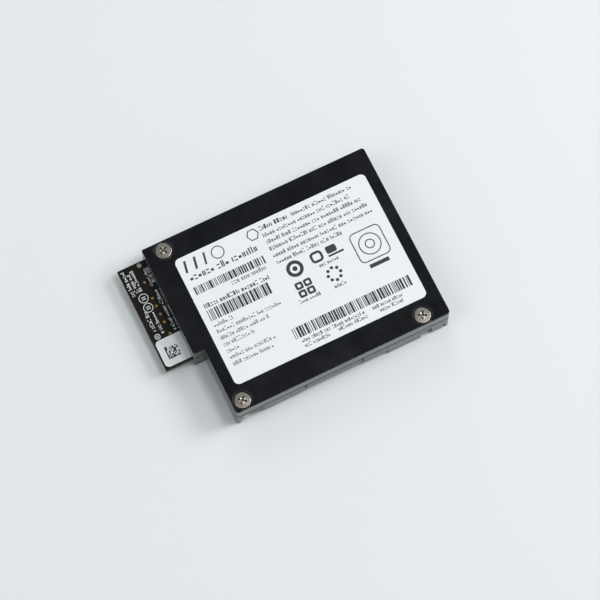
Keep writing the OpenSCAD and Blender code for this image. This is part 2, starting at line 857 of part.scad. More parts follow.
module tantalum_capacitors() {
    color([0.8, 0.6, 0.2]) place() for (k = [0 : 2])
        block([51, 25 + 8 * k], [tantalum_l, tantalum_w], tantalum_h);
}

// Ceramic capacitors: place and turn
CERAMICS = concat(
    [for (x = [10, 14, 18.5, 23, 28, 33, 37, 42.5]) [[x, 1.6], 0]],
    [for (x = [25, 28, 40, 43]) [[x, 10.5], 90]],
    [for (x = [30, 33.5, 42]) [[x, 32.5], 0]],
    [[[44.5, 26], 90], [[44.5, 29], 90], [[60, 12], 90], [[60, 30], 90]]
);

module ceramic_capacitors() {
    color([0.62, 0.5, 0.36]) place() for (c = CERAMICS)
        end_capped(c[0], [ceramic_l, ceramic_w], ceramic_h, c[1]);
}

// Chip resistors: place and turn
RESISTORS = concat(
    [for (k = [0 : 5]) [[12 + 2.5 * k, 17], 90]],
    [for (k = [0 : 4]) [[34 + 2.5 * k, 17], 90]],
    [for (k = [0 : 3]) [[50 + 2.5 * k, 18], 90]],
    [for (k = [0 : 3]) [[20 + 3 * k, 46], 0]],
    [for (k = [0 : 2]) [[48 + 3 * k, 48], 0]],
    [for (k = [0 : 2]) [[15, 26 + 2 * k], 0]]
);

module chip_resistors() {
    color([0.1, 0.1, 0.11]) place() for (r = RESISTORS)
        end_capped(r[0], [resistor_l, resistor_w], resistor_h, r[1]);
}

module sense_resistor() {
    color([0.12, 0.12, 0.12]) place() end_capped([23, 27], [shunt_l, shunt_w], shunt_h);
}

module board_fuse() {
    color([0.85, 0.84, 0.78]) place() end_capped([21, 36], [fuse_l, fuse_w], shunt_h);
}

module diodes() {
    color([0.14, 0.14, 0.15]) place() for (x = [20, 27])
        block([x, 41], [diode_l, diode_w], diode_h);
}

top_cover();
base_tray();
rating_label();
circuit_board();
code_sticker();
cover_screws();
threaded_standoffs();
battery_cell();
terminal_cap();
positive_tab();
negative_tab();
thermal_fuse();
thermistor();
foam_pad();
plug_body();
plug_contacts();
gauge_chip();
memory_chip();
controller_chip();
switch_chips();
chip_leads();
charger_chip();
power_coil();
tantalum_capacitors();
ceramic_capacitors();
chip_resistors();
sense_resistor();
board_fuse();
diodes();
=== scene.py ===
import math
import random

import bmesh
import bpy
from mathutils import Matrix, Vector


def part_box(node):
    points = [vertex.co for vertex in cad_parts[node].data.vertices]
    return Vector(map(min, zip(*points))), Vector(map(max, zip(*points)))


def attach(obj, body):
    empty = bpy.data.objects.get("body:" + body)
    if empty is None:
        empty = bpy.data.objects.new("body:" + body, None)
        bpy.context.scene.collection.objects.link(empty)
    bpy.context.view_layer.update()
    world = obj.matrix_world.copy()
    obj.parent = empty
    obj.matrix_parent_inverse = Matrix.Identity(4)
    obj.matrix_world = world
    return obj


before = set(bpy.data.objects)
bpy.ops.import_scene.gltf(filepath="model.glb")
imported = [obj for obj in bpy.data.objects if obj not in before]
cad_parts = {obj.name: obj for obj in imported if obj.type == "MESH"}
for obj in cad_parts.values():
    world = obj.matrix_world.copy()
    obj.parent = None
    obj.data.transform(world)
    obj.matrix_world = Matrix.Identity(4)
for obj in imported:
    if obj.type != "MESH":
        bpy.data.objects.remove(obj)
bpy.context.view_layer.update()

# Looks of a battery backup module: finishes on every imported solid, the print on its
# labels, the small detail of its board, and the light and camera of the photo. All
# geometry is worked out in millimetres and turned into metres when it is made.

MM = 0.001
# Decimals of a millimetre within which two points count as one
DECIMALS = 3


def box_mm(node):
    """The two corners of a node's box in millimetres."""
    low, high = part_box(node)
    return low / MM, high / MM


def parts_mm(node):
    """Boxes of the separate solids in a node, in millimetres, from left to right."""
    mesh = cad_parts[node].data
    spots = [vertex.co / MM for vertex in mesh.vertices]
    group = list(range(len(spots)))
    first_at = {}

    def root(k):
        while group[k] != k:
            group[k] = group[group[k]]
            k = group[k]
        return k

    for k, spot in enumerate(spots):
        group[k] = first_at.setdefault(tuple(round(c, DECIMALS) for c in spot), k)
    for edge in mesh.edges:
        group[root(edge.vertices[0])] = root(edge.vertices[1])
    parts = {}
    for k, spot in enumerate(spots):
        parts.setdefault(root(k), []).append(spot)
    boxes = [(Vector([min(p[i] for p in part) for i in range(3)]),
              Vector([max(p[i] for p in part) for i in range(3)])) for part in parts.values()]
    return sorted(boxes, key=lambda box: (round(box[0].x, DECIMALS), round(box[0].y, DECIMALS)))


# ---- Camera, light and floor ------------------------------------------------

# Angles are degrees, round from the front and up, and lengths are millimetres
CAMERA_AZIMUTH = -26.165
CAMERA_ELEVATION = 72.72
CAMERA_DISTANCE = 933.98
CAMERA_TARGET = Vector((4.307, -2.848, 1.5))
CAMERA_NEAR = 10.0
CAMERA_FAR = 20000.0
SENSOR_WIDTH = 36.0
FOCAL_LENGTH = 191.97

FLOOR_RADIUS = 2500.0
FLOOR_COLOUR = (0.84, 0.875, 0.885)
HORIZON_COLOUR = (0.60, 0.63, 0.64)
ZENITH_COLOUR = (0.115, 0.125, 0.135)
# Heights, as the sine of the elevation, between which the world changes colour
HORIZON_END = 0.04
ZENITH_START = 0.5

# Direction towards each lamp (azimuth from +X, and elevation), its distance and size,
# and the share of the plain light level that it gives on the floor
LAMPS = {
    "key_lamp": dict(azimuth=-24, elevation=72, distance=1100, size=320, share=0.24),
    "soft_lamp": dict(azimuth=-6, elevation=41, distance=1300, size=620, share=0.315),
    "left_lamp": dict(azimuth=180, elevation=52, distance=1200, size=900, share=0.172),
    "front_lamp": dict(azimuth=-98, elevation=62, distance=1200, size=700, share=0.03),
    "back_lamp": dict(azimuth=82, elevation=42, distance=1200, size=700, share=0.095),
}


def direction(azimuth, elevation):
    a, e = math.radians(azimuth), math.radians(elevation)
    return Vector((math.cos(a) * math.cos(e), math.sin(a) * math.cos(e), math.sin(e)))


def add_camera():
    data = bpy.data.cameras.new("camera")
    data.sensor_width = SENSOR_WIDTH
    data.lens = FOCAL_LENGTH
    data.clip_start, data.clip_end = CAMERA_NEAR * MM, CAMERA_FAR * MM
    camera = bpy.data.objects.new("camera", data)
    back = direction(CAMERA_AZIMUTH - 90, CAMERA_ELEVATION)
    right = Vector((0, 0, 1)).cross(back).normalized()
    up = back.cross(right)
    place = (CAMERA_TARGET + back * CAMERA_DISTANCE) * MM
    turn = Matrix((right, up, back)).transposed().to_4x4()
    camera.matrix_world = Matrix.Translation(place) @ turn
    bpy.context.scene.collection.objects.link(camera)
    bpy.context.scene.camera = camera


def add_lamp(name, azimuth, elevation, distance, size, share):
    """A round lamp whose power gives that share of the plain level on a level floor."""
    data = bpy.data.lights.new(name, "AREA")
    data.shape = "DISK"
    data.size = size * MM
    reach = distance * MM
    data.energy = share * math.pi ** 2 * reach ** 2 / math.sin(math.radians(elevation))
    lamp = bpy.data.objects.new(name, data)
    towards = direction(azimuth, elevation)
    lamp.matrix_world = Matrix.Translation(towards * reach) @ \
        towards.to_track_quat("Z", "Y").to_matrix().to_4x4()
    bpy.context.scene.collection.objects.link(lamp)


def add_world():
    """Pale near the horizon and dim overhead, as a studio with a dark ceiling."""
    world = bpy.data.worlds.new("studio")
    world.use_nodes = True
    bpy.context.scene.world = world
    nodes, links = world.node_tree.nodes, world.node_tree.links
    place = nodes.new("ShaderNodeTexCoord")
    split = nodes.new("ShaderNodeSeparateXYZ")
    ramp = nodes.new("ShaderNodeValToRGB")
    ramp.color_ramp.interpolation = "EASE"
    ramp.color_ramp.elements[0].position = HORIZON_END
    ramp.color_ramp.elements[0].color = (*HORIZON_COLOUR, 1)
    ramp.color_ramp.elements[1].position = ZENITH_START
    ramp.color_ramp.elements[1].color = (*ZENITH_COLOUR, 1)
    links.new(place.outputs["Generated"], split.inputs[0])
    links.new(split.outputs["Z"], ramp.inputs["Fac"])
    links.new(ramp.outputs["Color"], nodes["Background"].inputs["Color"])


def add_floor():
    g = Graph("floor_paint")
    tone = g.noise(0.004, detail=1)
    g.colour(g.mix(tone, FLOOR_COLOUR, [0.985 * c for c in FLOOR_COLOUR]))
    g.set(Roughness=0.85)
    bm = bmesh.new()
    bmesh.ops.create_circle(bm, cap_ends=True, radius=FLOOR_RADIUS * MM, segments=96)
    mesh = bpy.data.meshes.new("floor")
    bm.to_mesh(mesh)
    bm.free()
    mesh.materials.append(g.material)
    floor = bpy.data.objects.new("floor", mesh)
    bpy.context.scene.collection.objects.link(floor)


# ---- Material graphs --------------------------------------------------------
# Scales of noise are about waves per millimetre, and lengths are millimetres.

PLASTIC_IOR = 1.66
# The pale tone painted on the plastic's walls: a painted reflection of the bright floor seen at a
# grazing view
PAINTED_WALL_SHEEN = (0.052, 0.055, 0.058)
# Dust: cells per millimetre, a speck's radius in cells, and the draw that a cell's own
# number has to pass to show its speck
DUST_CELLS = 0.16
DUST_REACH = 0.012
DUST_CHOICE = 0.72
DUST_COLOUR = (0.45, 0.46, 0.46)

HEAD_RING_PITCH = 0.42
HEAD_GROOVE_RADIUS = 1.95
HEAD_GROOVE_REACH = 0.2
HEAD_GROOVE_COLOUR = (0.14, 0.125, 0.1)
# Distance from a screw's axis within which the recess gets painted shade
RECESS_REACH = 1.6
# Depth under the head at which the painted shade in the recess starts, and is darkest
RECESS_DIM, RECESS_DARK = 0.3, 0.75
# Brownish colour of the painted shade in the screws' recesses
RECESS_SHADE_COLOUR = (0.1, 0.065, 0.027)

# The board's weave and its layers, in radians per millimetre
WEAVE_TURN = 14.0
LAYER_TURN = 26.0
# The tan core: its height as a share of the board, and half its thickness
CORE_HEIGHT = 0.6
CORE_HALF = 0.3
CORE_COLOUR = (0.42, 0.33, 0.17)


class Graph:
    """One node material, built on the object's own coordinates in millimetres."""

    def __init__(self, name):
        self.material = bpy.data.materials.new(name)
        self.material.use_nodes = True
        self.nodes = self.material.node_tree.nodes
        self.links = self.material.node_tree.links
        self.shader = self.nodes["Principled BSDF"]
        self.place = self.scaled(self.nodes.new("ShaderNodeTexCoord").outputs["Object"], 1 / MM)

    def put(self, socket, value):
        if isinstance(value, bpy.types.NodeSocket):
            self.links.new(value, socket)
        elif isinstance(value, (tuple, list)) and len(value) == 3 and socket.type == "RGBA":
            socket.default_value = (*value, 1)
        else:
            socket.default_value = value

    def set(self, **sockets):
        for name, value in sockets.items():
            self.put(self.shader.inputs[name.replace("_", " ")], value)

    def colour(self, value):
        self.put(self.shader.inputs["Base Color"], value)

    def scaled(self, vector, factor):
        node = self.nodes.new("ShaderNodeVectorMath")
        node.operation = "MULTIPLY"
        self.put(node.inputs[0], vector)
        node.inputs[1].default_value = factor if isinstance(factor, tuple) else (factor,) * 3
        return node.outputs[0]

    def noise(self, scale, detail=3, roughness=0.5, stretch=(1, 1, 1)):
        node = self.nodes.new("ShaderNodeTexNoise")
        self.put(node.inputs["Vector"], self.scaled(self.place, stretch))
        node.inputs["Scale"].default_value = scale
        node.inputs["Detail"].default_value = detail
        node.inputs["Roughness"].default_value = roughness
        return node.outputs["Fac"]

    def cells(self, scale):
        node = self.nodes.new("ShaderNodeTexVoronoi")
        self.put(node.inputs["Vector"], self.place)
        node.inputs["Scale"].default_value = scale
        return node

    def math(self, operation, a, b=0.0):
        node = self.nodes.new("ShaderNodeMath")
        node.operation = operation
        self.put(node.inputs[0], a)
        self.put(node.inputs[1], b)
        return node.outputs[0]

    def remap(self, value, low, high, to_low=0.0, to_high=1.0):
        node = self.nodes.new("ShaderNodeMapRange")
        self.put(node.inputs["Value"], value)
        for socket, number in zip(node.inputs[1:5], (low, high, to_low, to_high)):
            socket.default_value = number
        return node.outputs[0]

    def mix(self, share, a, b):
        node = self.nodes.new("ShaderNodeMix")
        node.data_type = "RGBA"
        first, second = (n for n in node.inputs if n.type == "RGBA")
        self.put(node.inputs["Factor"], share)
        self.put(first, a)
        self.put(second, b)
        return next(n for n in node.outputs if n.type == "RGBA")

    def axis(self, name, vector=None):
        node = self.nodes.new("ShaderNodeSeparateXYZ")
        self.put(node.inputs[0], vector or self.place)
        return node.outputs[name]

    def facing(self, name):
        """How far the surface faces along one axis."""
        return self.axis(name, self.nodes.new("ShaderNodeNewGeometry").outputs["Normal"])

    def upright(self):
        """One on walls and zero on level faces."""
        return self.math("LESS_THAN", self.math("ABSOLUTE", self.facing("Z")), 0.5)

    def distance(self, vector, point):
        node = self.nodes.new("ShaderNodeVectorMath")
        node.operation = "DISTANCE"
        self.put(node.inputs[0], vector)
        node.inputs[1].default_value = point
        return node.outputs["Value"]

    def bump(self, height, strength, depth):
        """Relief of that depth in millimetres."""
        node = self.nodes.new("ShaderNodeBump")
        node.inputs["Strength"].default_value = strength
        node.inputs["Distance"].default_value = depth * MM
        self.put(node.inputs["Height"], height)
        self.put(self.shader.inputs["Normal"], node.outputs[0])


def plastic(name, dark, light, roughness):
    """Moulded plastic: fine grain, faint smudges, a few dust specks, and walls painted paler as a
    painted reflection of the floor.
    """
    g = Graph(name)
    smudge = g.noise(0.09, detail=4, roughness=0.62)
    grain = g.noise(9.0, detail=2)
    specks = g.cells(DUST_CELLS)
    is_speck = g.math("LESS_THAN", specks.outputs["Distance"], DUST_REACH)
    chosen = g.math("GREATER_THAN", g.axis("X", specks.outputs["Color"]), DUST_CHOICE)
    dust = g.math("MULTIPLY", g.math("MULTIPLY", is_speck, chosen), 0.5)
    body = g.mix(g.remap(smudge, 0.35, 0.7), dark, light)
    # Painted reflection: upright faces are painted paler, unevenly, where the glossy walls would
    # mirror the bright floor
    wall_sheen_share = g.math("MULTIPLY", g.upright(), g.remap(g.noise(0.5, detail=3), 0.3, 0.7, 0.7, 1.0))
    body = g.mix(wall_sheen_share, body, PAINTED_WALL_SHEEN)
    g.colour(g.mix(dust, body, DUST_COLOUR))
    gloss = g.remap(smudge, 0.3, 0.72, roughness - 0.05, roughness + 0.07)
    g.set(Roughness=gloss, IOR=PLASTIC_IOR)
    g.bump(grain, 0.35, 0.006)
    return g.material


def screw_steel():
    """Nickel-plated steel with turned rings round each head and painted shade in the recess, darker
    with depth.
    """
    head_top = box_mm("cover_screws")[1].z
    g = Graph("screw_steel")
    flat = g.scaled(g.place, (1, 1, 0))
    reach = None
    for low, high in parts_mm("cover_screws"):
        middle = (low + high) / 2
        away = g.distance(flat, (middle.x, middle.y, 0))
        reach = away if reach is None else g.math("MINIMUM", reach, away)
    rings = g.math("SINE", g.math("MULTIPLY", reach, math.tau / HEAD_RING_PITCH))
    groove = g.math("ABSOLUTE", g.math("SUBTRACT", reach, HEAD_GROOVE_RADIUS))
    tone = g.noise(2.4, detail=4)
    colour = g.mix(g.remap(tone, 0.35, 0.65), (0.5, 0.47, 0.42), (0.27, 0.25, 0.215))
    shade = g.remap(groove, 0.0, HEAD_GROOVE_REACH, 0.5, 0.0)
    colour = g.mix(shade, colour, HEAD_GROOVE_COLOUR)
    # Painted shade: the recess darkens with depth, and less near the axis so that the burrs' glints
    # show
    deep = g.remap(g.axis("Z"), head_top - RECESS_DARK, head_top - RECESS_DIM, 1.0, 0.0)
    inside = g.math("LESS_THAN", reach, RECESS_REACH)
    outward = g.remap(reach, 0.35, 0.7, 0.35, 0.9)
    recess_shade = g.math("MULTIPLY", g.math("MULTIPLY", deep, inside), outward)
    g.colour(g.mix(recess_shade, colour, RECESS_SHADE_COLOUR))
    g.set(Metallic=1.0, Roughness=g.remap(tone, 0.35, 0.65, 0.28, 0.42))
    g.bump(g.math("ADD", g.math("MULTIPLY", rings, 0.3), g.noise(5.0, detail=3)), 0.5, 0.012)
    return g.material


def film(name, colour, shade, roughness):
    """Printed label stock: bright film with a hint of mottle and a soft gloss."""
    g = Graph(name)
    mottle = g.noise(0.35, detail=4)
    g.colour(g.mix(g.remap(mottle, 0.3, 0.7), colour, shade))
    g.set(Roughness=g.remap(mottle, 0.3, 0.7, roughness - 0.06, roughness + 0.06))
    g.bump(g.noise(3.0, detail=2), 0.15, 0.004)
    return g.material


def ink(name, colour):
    """Printed ink with the uneven edge-to-edge cover of a ribbon printer."""
    g = Graph(name)
    cover = g.noise(4.0, detail=3)
    g.colour(g.mix(g.remap(cover, 0.35, 0.75), colour, [min(1, 1.8 * c + 0.01) for c in colour]))
    g.set(Roughness=g.remap(cover, 0.3, 0.7, 0.38, 0.55))
    return g.material


def laminate():
    """Black solder mask over a faint glass weave; dark layered edges, tan on the left."""
    low, high = box_mm("circuit_board")
    core_z = low.z + CORE_HEIGHT * (high.z - low.z)
    g = Graph("board_laminate")
    across = g.math("SINE", g.math("MULTIPLY", g.axis("X"), WEAVE_TURN))
    along = g.math("SINE", g.math("MULTIPLY", g.axis("Y"), WEAVE_TURN))
    weave = g.math("MULTIPLY", across, along)
    pour = g.noise(0.25, detail=0)
    mask = g.mix(g.remap(pour, 0.5, 0.53), (0.0075, 0.0065, 0.0055), (0.012, 0.0105, 0.0085))
    layers = g.math("SINE", g.math("MULTIPLY", g.axis("Z"), LAYER_TURN))
    fibre = g.noise(2.2, detail=3, stretch=(1, 1, 6))
    edge = g.mix(g.remap(layers, -1, 1), (0.035, 0.028, 0.018), (0.08, 0.062, 0.035))
    edge = g.mix(g.remap(fibre, 0.35, 0.7), edge, (0.03, 0.024, 0.016))
    off_core = g.math("ABSOLUTE", g.math("SUBTRACT", g.axis("Z"), core_z))
    core = g.math("LESS_THAN", off_core, CORE_HALF)
    routed = g.math("MULTIPLY", core, g.math("LESS_THAN", g.facing("X"), -0.5))
    edge = g.mix(routed, edge, CORE_COLOUR)
    upright = g.upright()
    g.colour(g.mix(upright, mask, edge))
    g.set(Roughness=g.remap(upright, 0, 1, 0.3, 0.75), Specular_IOR_Level=0.3)
    g.bump(weave, 0.25, 0.008)
    return g.material


def metal(name, colour, shade, roughness):
    """Plated metal: slightly uneven tone and a fine matte grain."""
    g = Graph(name)
    tone = g.noise(0.8, detail=4)
    g.colour(g.mix(g.remap(tone, 0.3, 0.7), colour, shade))
    g.set(Metallic=1.0, Roughness=g.remap(tone, 0.3, 0.7, roughness - 0.05, roughness + 0.08))
    g.bump(g.noise(3.0, detail=3), 0.3, 0.004)
    return g.material


def solid(name, colour, shade, roughness, grain=6.0, depth=0.01):
    """Dull opaque stuff, such as moulded epoxy, ceramic or foam."""
    g = Graph(name)
    tone = g.noise(1.2, detail=4)
    g.colour(g.mix(g.remap(tone, 0.3, 0.7), colour, shade))
    g.set(Roughness=g.remap(tone, 0.3, 0.7, roughness - 0.06, roughness + 0.06))
    g.bump(g.noise(grain, detail=3), 0.35, depth)
    return g.material


def case_finishes():
    """Finishes of the case, of what is on it and of the cell inside."""
    nickel = metal("nickel_strip", (0.68, 0.65, 0.6), (0.58, 0.56, 0.52), 0.26)
    return {
        "top_cover": plastic("cover_plastic", (0.0015, 0.0021, 0.0032), (0.003, 0.0038, 0.0052), 0.16),
        "base_tray": plastic("tray_plastic", (0.0025, 0.0032, 0.0045), (0.0045, 0.0055, 0.007), 0.16),
        "rating_label": film("label_film", (0.87, 0.9, 0.91), (0.85, 0.885, 0.9), 0.42),
        "code_sticker": film("sticker_film", (0.80, 0.85, 0.85), (0.77, 0.82, 0.83), 0.45),
        "cover_screws": screw_steel(),
        "threaded_standoffs": metal("plated_brass", (0.92, 0.9, 0.85), (0.84, 0.82, 0.76), 0.3),
        "battery_cell": metal("cell_can", (0.62, 0.63, 0.65), (0.52, 0.53, 0.56), 0.38),
        "terminal_cap": solid("insulator", (0.02, 0.02, 0.022), (0.03, 0.03, 0.032), 0.5),
        "positive_tab": nickel,
        "negative_tab": nickel,
        "thermistor": solid("bead_epoxy", (0.06, 0.025, 0.01), (0.09, 0.04, 0.02), 0.3),
        "foam_pad": solid("foam", (0.03, 0.03, 0.03), (0.05, 0.05, 0.05), 0.9, grain=3.0, depth=0.08),
    }


def board_finishes():
    """Finishes of the board and of the moulded electric parts."""
    epoxy = solid("chip_epoxy", (0.014, 0.014, 0.015), (0.022, 0.022, 0.023), 0.55)
    black_parts = ("thermal_fuse", "gauge_chip", "memory_chip", "controller_chip", "switch_chips",
                   "charger_chip", "diodes")
    return {
        **{name: epoxy for name in black_parts},
        "circuit_board": laminate(),
        "chip_leads": metal("tinned_leads", (0.72, 0.72, 0.71), (0.6, 0.6, 0.6), 0.3),
        "plug_body": solid("plug_plastic", (0.012, 0.012, 0.013), (0.02, 0.02, 0.021), 0.42),
        "plug_contacts": metal("gold_plate", (0.9, 0.63, 0.26), (0.8, 0.54, 0.2), 0.24),
        "power_coil": solid("coil_ferrite", (0.035, 0.034, 0.033), (0.05, 0.048, 0.046), 0.6),
        "tantalum_capacitors": solid("tantalum_resin", (0.72, 0.45, 0.08), (0.66, 0.4, 0.06), 0.4),
        "ceramic_capacitors": solid("capacitor_ceramic", (0.4, 0.27, 0.16), (0.34, 0.22, 0.12), 0.4),
        "chip_resistors": solid("resistor_body", (0.01, 0.01, 0.012), (0.016, 0.016, 0.018), 0.35),
        "sense_resistor": solid("shunt_body", (0.012, 0.012, 0.012), (0.02, 0.02, 0.02), 0.4),
        "board_fuse": solid("fuse_body", (0.75, 0.73, 0.66), (0.7, 0.68, 0.6), 0.4),
    }


def finish_nodes():
    """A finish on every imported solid."""
    finishes = {**case_finishes(), **board_finishes()}
    for name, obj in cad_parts.items():
        obj.data.materials.clear()
        obj.data.materials.append(finishes[name])


# ---- Flat shapes ------------------------------------------------------------

LEAST_RADIUS = 0.05
# Shares of a line's height: a mark's stroke, width and gap, what a short mark lacks,
# the gap between two groups, and the room that a new group needs
SIGN_STROKE = 0.14
SIGN_WIDTH = 0.46
SIGN_GAP = 0.2
SIGN_SHORT = 0.28
GROUP_GAP = 0.38
LEAST_ROOM = 0.3
# Height of a slab's top and bottom over its line, in strokes
SLAB_TOP, SLAB_BOTTOM = 2.6, 0.6


def rounded(a, b, radius, steps=4):
    """Outline of a rectangle between two corners, with round corners."""
    points = []
    centres = [(b[0] - radius, b[1] - radius), (a[0] + radius, b[1] - radius),
               (a[0] + radius, a[1] + radius), (b[0] - radius, a[1] + radius)]
    for quarter, (cx, cy) in enumerate(centres):
        for k in range(steps + 1):
            turn = math.pi / 2 * (quarter + k / steps)
            points.append((cx + radius * math.cos(turn), cy + radius * math.sin(turn)))
    return points


def regular(centre, radius, sides):
    """Outline of a regular polygon, or of a circle when it has many sides."""
    return [(centre[0] + radius * math.cos(math.tau * k / sides),
             centre[1] + radius * math.sin(math.tau * k / sides)) for k in range(sides)]


def join_loops(bm, first, second):
    """Faces between two loops with the same number of points."""
    for k in range(len(first)):
        j = (k + 1) % len(first)
        bm.faces.new((first[k], first[j], second[j], second[k]))


class Print:
    """Flat ink on a surface at a height, along a reading direction."""

    def __init__(self, corner, across, down, low, thickness):
        self.bm = bmesh.new()
        self.corner, self.across, self.down = Vector(corner), Vector(across), Vector(down)
        self.low, self.high = low, low + thickness

    def spot(self, p, z):
        flat = self.corner + self.across * p[0] + self.down * p[1]
        return self.bm.verts.new((flat.x, flat.y, z))

    def fill(self, outline):
        """The area inside one outline."""
        bottom = [self.spot(p, self.low) for p in outline]
        top = [self.spot(p, self.high) for p in outline]
        self.bm.faces.new(top)
        self.bm.faces.new(bottom)
        join_loops(self.bm, bottom, top)

    def band(self, outer, inner):
        """The area between two outlines with the same number of points."""
        outer_low, outer_high, inner_low, inner_high = [
            [self.spot(p, z) for p in outline] for outline in (outer, inner)
            for z in (self.low, self.high)]
        for first, second in ((outer_low, outer_high), (inner_low, inner_high),
                              (outer_high, inner_high), (outer_low, inner_low)):
            join_loops(self.bm, first, second)

    def line(self, a, b, wide):
        """A straight stroke between two points."""
        run = Vector(b) - Vector(a)
        side = Vector((-run.y, run.x)).normalized() * wide / 2
        corners = ((a, -1), (b, -1), (b, 1), (a, 1))
        self.fill([tuple(Vector(p) + way * side) for p, way in corners])

    def bar(self, a, b):
        """A rectangle between two corners."""
        self.fill([(a[0], a[1]), (b[0], a[1]), (b[0], b[1]), (a[0], b[1])])

    def ring(self, centre, outer, inner, sides=48):
        self.band(regular(centre, outer, sides), regular(centre, inner, sides))

    def frame(self, a, b, stroke, radius):
        """A stroke round the inside of a rectangle with round corners."""
        inner_a, inner_b = (a[0] + stroke, a[1] + stroke), (b[0] - stroke, b[1] - stroke)
        inner_radius = max(radius - stroke, LEAST_RADIUS)
        self.band(rounded(a, b, radius), rounded(inner_a, inner_b, inner_radius))

    def sign(self, x, top, wide, bottom, kind, stroke):
        """One small abstract mark: an upright tick, a pair of ticks, dashes or a slab."""
        if kind == "ticks":
            self.bar((x, top), (x + stroke, bottom))
            self.bar((x + wide - stroke, top), (x + wide, bottom))
        elif kind == "dashes":
            self.bar((x, top), (x + wide, top + stroke))
            self.bar((x, bottom - stroke), (x + wide, bottom))
        elif kind == "slab":
            self.bar((x, bottom - SLAB_TOP * stroke), (x + wide, bottom - SLAB_BOTTOM * stroke))
        else:
            self.bar((x, top), (x + wide, bottom))

    def words(self, start, end, top, bottom, heavy, rng):
        """A line of small marks in groups, where the real thing has a line of text."""
        tall = bottom - top
        stroke = SIGN_STROKE * tall * heavy
        x = start
        while x < end - LEAST_ROOM * tall:
            for _ in range(rng.randint(3, 8)):
                kind = rng.choice(("tick", "ticks", "ticks", "dashes", "slab"))
                wide = stroke if kind == "tick" else SIGN_WIDTH * tall
                if x + wide > end:
                    return
                short = rng.choice((0.0, SIGN_SHORT, SIGN_SHORT))
                self.sign(x, top + short * tall, wide, bottom, kind, stroke)
                x += wide + SIGN_GAP * tall
            x += GROUP_GAP * tall

    def stripes(self, start, end, top, bottom, unit, rng):
        """Upright bars, one to three units wide, with gaps of one or two."""
        x = start
        while x < end - unit:
            wide = unit * rng.choice((1, 1, 2, 3))
            self.bar((x, top), (min(x + wide, end), bottom))
            x += wide + unit * rng.choice((1, 1, 1, 2))

    def finish(self, name, material, slot):
        make_piece(name, self.bm, material)


def make_piece(name, bm, material):
    """A piece in millimetres becomes an object that rides with the part."""
    bmesh.ops.scale(bm, vec=(MM, MM, MM), verts=bm.verts)
    bmesh.ops.recalc_face_normals(bm, faces=bm.faces)
    mesh = bpy.data.meshes.new(name)
    bm.to_mesh(mesh)
    bm.free()
    mesh.materials.append(material)
    obj = bpy.data.objects.new(name, mesh)
    bpy.context.scene.collection.objects.link(obj)
    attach(obj, "root")


# ---- Print on the rating label ----------------------------------------------
# Places are (from the label's left edge, from its back edge) in millimetres.

INK_DEPTH = 0.015
# Start, end, top, bottom and heaviness of each heading line
HEADING_LINES = [(2.0, 24.8, 5.9, 7.9, 1.35), (12.2, 24.0, 12.7, 14.05, 1.2),
                 (2.0, 23.5, 15.75, 17.15, 1.5)]
# End and top of each line under the bars at the left
CELL_LINES = [(8.6, 22.2), (23.0, 24.25), (17.5, 26.45), (11.7, 28.6),
              (6.7, 30.75), (17.2, 32.75), (15.5, 34.95)]
CELL_LEFT = 2.1
CELL_TALL = 1.2
CELL_HEAVY = 1.2
# The note: its heading, the rest of that line, and the end and top of each further line
NOTE_HEADING = (26.6, 35.9, 1.4, 2.8, 1.6)
NOTE_FIRST = (36.9, 56.5, 1.5, 2.75, 1.35)
NOTE_LINES = [(55.2, 3.85), (57.2, 6.1), (58.1, 8.35), (59.2, 10.7), (48.0, 12.95)]
NOTE_LEFT = 26.6
NOTE_TALL = 1.25
NOTE_HEAVY = 1.35
# Start, end and top of each small line
SMALL_LINES = [(37.3, 43.9, 19.4), (27.2, 34.1, 26.9), (38.5, 42.3, 27.05),
               (22.8, 42.8, 37.6), (45.4, 55.0, 37.65), (23.0, 31.4, 39.2),
               (33.9, 43.3, 39.05), (47.1, 55.0, 39.2)]
SMALL_TALL = 1.1
SMALL_HEAVY = 1.4
# Start, end, top and bottom of each field of bars, and the unit of their widths
BAR_FIELDS = [(1.6, 24.2, 9.85, 12.35, 0.23), (2.0, 21.6, 17.75, 21.35, 0.23),
              (21.5, 59.1, 33.65, 37.0, 0.22)]
# Start and end of each leaning bar, and how far it leans over at its top and bottom
SLANT_BARS = [(1.9, 2.6), (5.0, 5.7), (8.1, 8.7)]
SLANT_TOP, SLANT_BOTTOM = 1.4, 5.1
SLANT_LEAN, SLANT_BACK = 0.5, 0.2
# Centre, outer radius, inner radius and number of sides
LABEL_RINGS = [((12.7, 3.2), 2.0, 1.7, 48), ((24.1, 2.9), 1.95, 1.6, 6),
               ((30.6, 17.6), 2.55, 1.5, 48), ((53.5, 20.3), 3.4, 3.08, 48),
               ((53.5, 20.3), 1.5, 1.18, 32)]
# Two corners, stroke and corner radius
LABEL_FRAMES = [((35.9, 15.4), (39.7, 18.9), 0.75, 1.2), ((48.6, 15.4), (58.4, 25.2), 0.32, 1.6)]
# Two corners and corner radius
LABEL_SLABS = [((41.0, 15.6), (44.2, 17.9), 0.5), ((41.0, 18.25), (45.9, 18.85), 0.2)]
LABEL_BAR = ((50.4, 26.1), (56.6, 27.3))
BULL_CENTRE = (30.6, 17.6)
BULL_RADIUS = 0.75
SQUARE_LEFTS = (28.2, 30.9)
SQUARE_BACKS = (21.7, 24.3)
SQUARE_SIZE = (2.35, 2.25)
SQUARE_STROKE = 0.68
SQUARE_RADIUS = 0.5
DOTS = 8
DOTS_CENTRE = (40.2, 24.0)
DOTS_REACH = 2.0
DOT_RADIUS = 0.5


def label_sheet():
    """Print that reads along the label from its back left corner."""
    low, high = box_mm("rating_label")
    return Print((low.x, high.y), (1, 0), (0, -1), high.z, INK_DEPTH)


